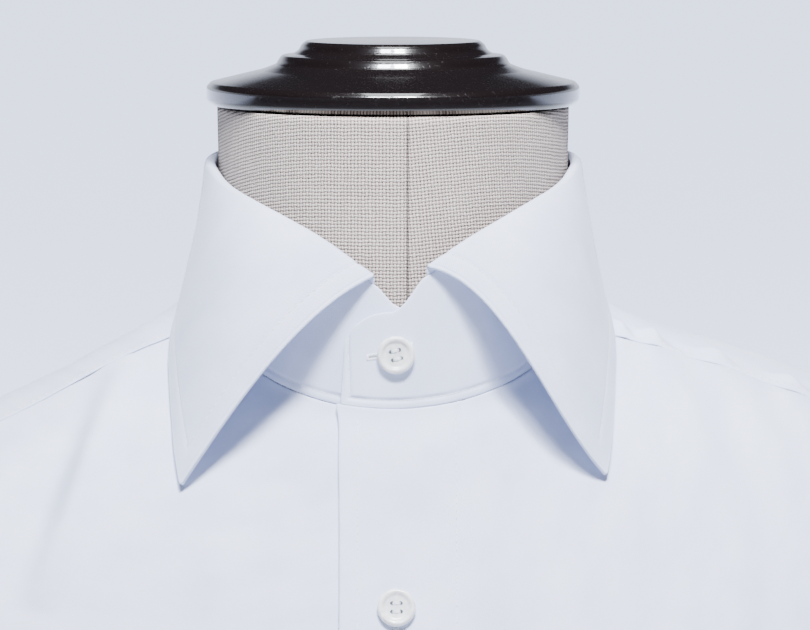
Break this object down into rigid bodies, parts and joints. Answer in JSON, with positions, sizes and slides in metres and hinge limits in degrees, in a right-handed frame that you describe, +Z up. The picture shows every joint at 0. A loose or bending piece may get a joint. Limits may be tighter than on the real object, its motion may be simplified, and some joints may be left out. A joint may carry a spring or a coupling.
{
  "type": "detachable shirt collar with bib on a limbless dress form",
  "caption": "White pointed shirt collar on a stand, sewn to a yoke and a short bib, worn on a linen-covered dress form with a turned neck cap.",
  "frame": {"origin": "middle of the form's flat underside, on the surface that it stands on", "axes": "+Z up the neck, -Y the way the wearer faces, +X the wearer's left"},
  "size_m": [0.3838, 0.2276, 0.4087],
  "materials": {
    "shirting": "fine white cotton, pressed",
    "linen": "natural plain-woven linen",
    "lacquered_wood": "turned wood, black gloss lacquer",
    "shell_button": "polished white shell"
  },
  "bodies": {
    "root": {"form_body": "linen", "form_cap": "lacquered_wood", "collar_stand": "shirting", "collar_leaf": "shirting", "yoke": "shirting", "front_left": "shirting", "front_right": "shirting", "back": "shirting", "button_stand": "shell_button", "button_front_1": "shell_button", "button_front_2": "shell_button", "button_front_3": "shell_button"}
  },
  "joints": []
}
